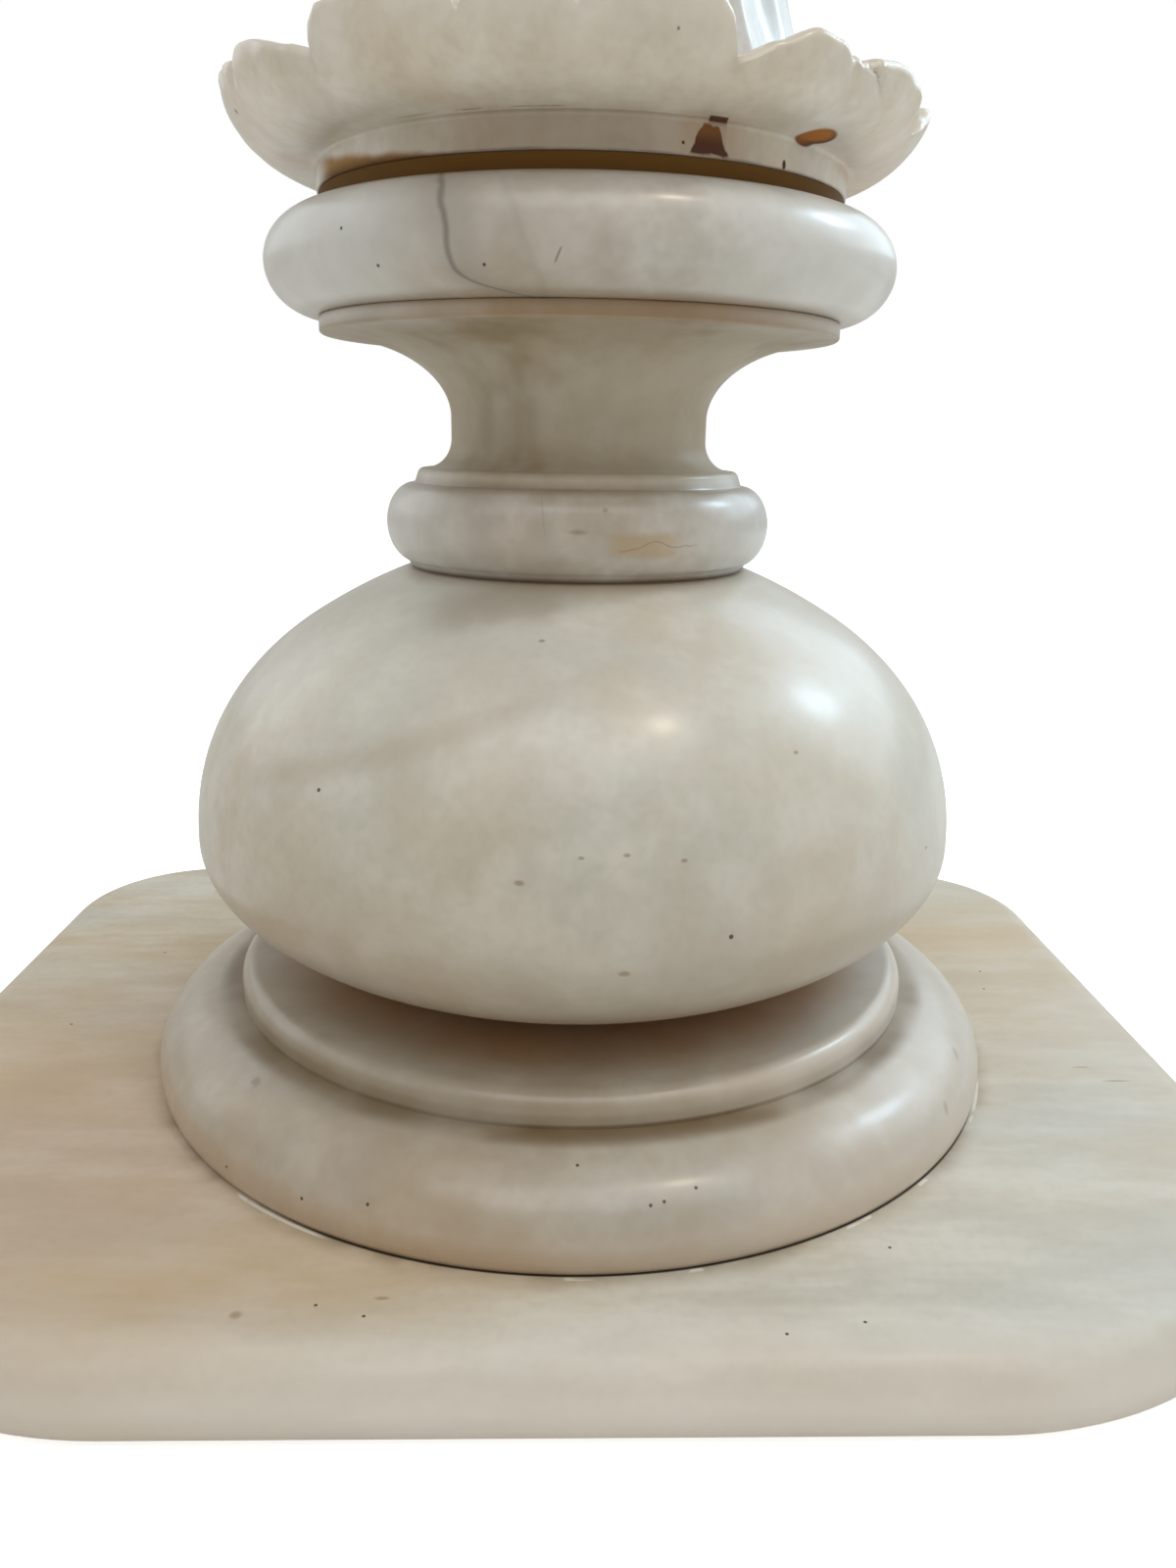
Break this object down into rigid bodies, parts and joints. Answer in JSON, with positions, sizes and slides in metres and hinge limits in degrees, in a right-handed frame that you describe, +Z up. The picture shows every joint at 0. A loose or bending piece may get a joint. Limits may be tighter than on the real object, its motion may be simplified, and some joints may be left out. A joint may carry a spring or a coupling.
{
  "type": "alabaster pedestal",
  "caption": "Turned and carved alabaster pedestal on a thin round-edged slab, with a flattened ball, a waisted stem, a leaf cup, a fluted shaft and a flat top to stand something on.",
  "frame": {"origin": "middle of the plinth's underside", "axes": "+Z up and parallel to the turned axis, -Y towards the front long side of the plinth, +X to its right"},
  "size_m": [0.306, 0.244, 0.76],
  "materials": {
    "banded_alabaster": "polished, waxy, banded in beige and grey",
    "cream_alabaster": "polished, waxy, cream with faint clouds",
    "veined_alabaster": "polished, waxy, cream with grey veins",
    "leaf_alabaster": "carved, waxy, cream with brown glue stains",
    "white_alabaster": "polished, waxy, cool white"
  },
  "bodies": {
    "root": {"plinth": "banded_alabaster", "base_ring": "cream_alabaster", "ball": "cream_alabaster", "stem": "veined_alabaster", "leaf_cup": "leaf_alabaster", "shaft": "white_alabaster", "capital": "veined_alabaster", "top_slab": "banded_alabaster"}
  },
  "joints": []
}
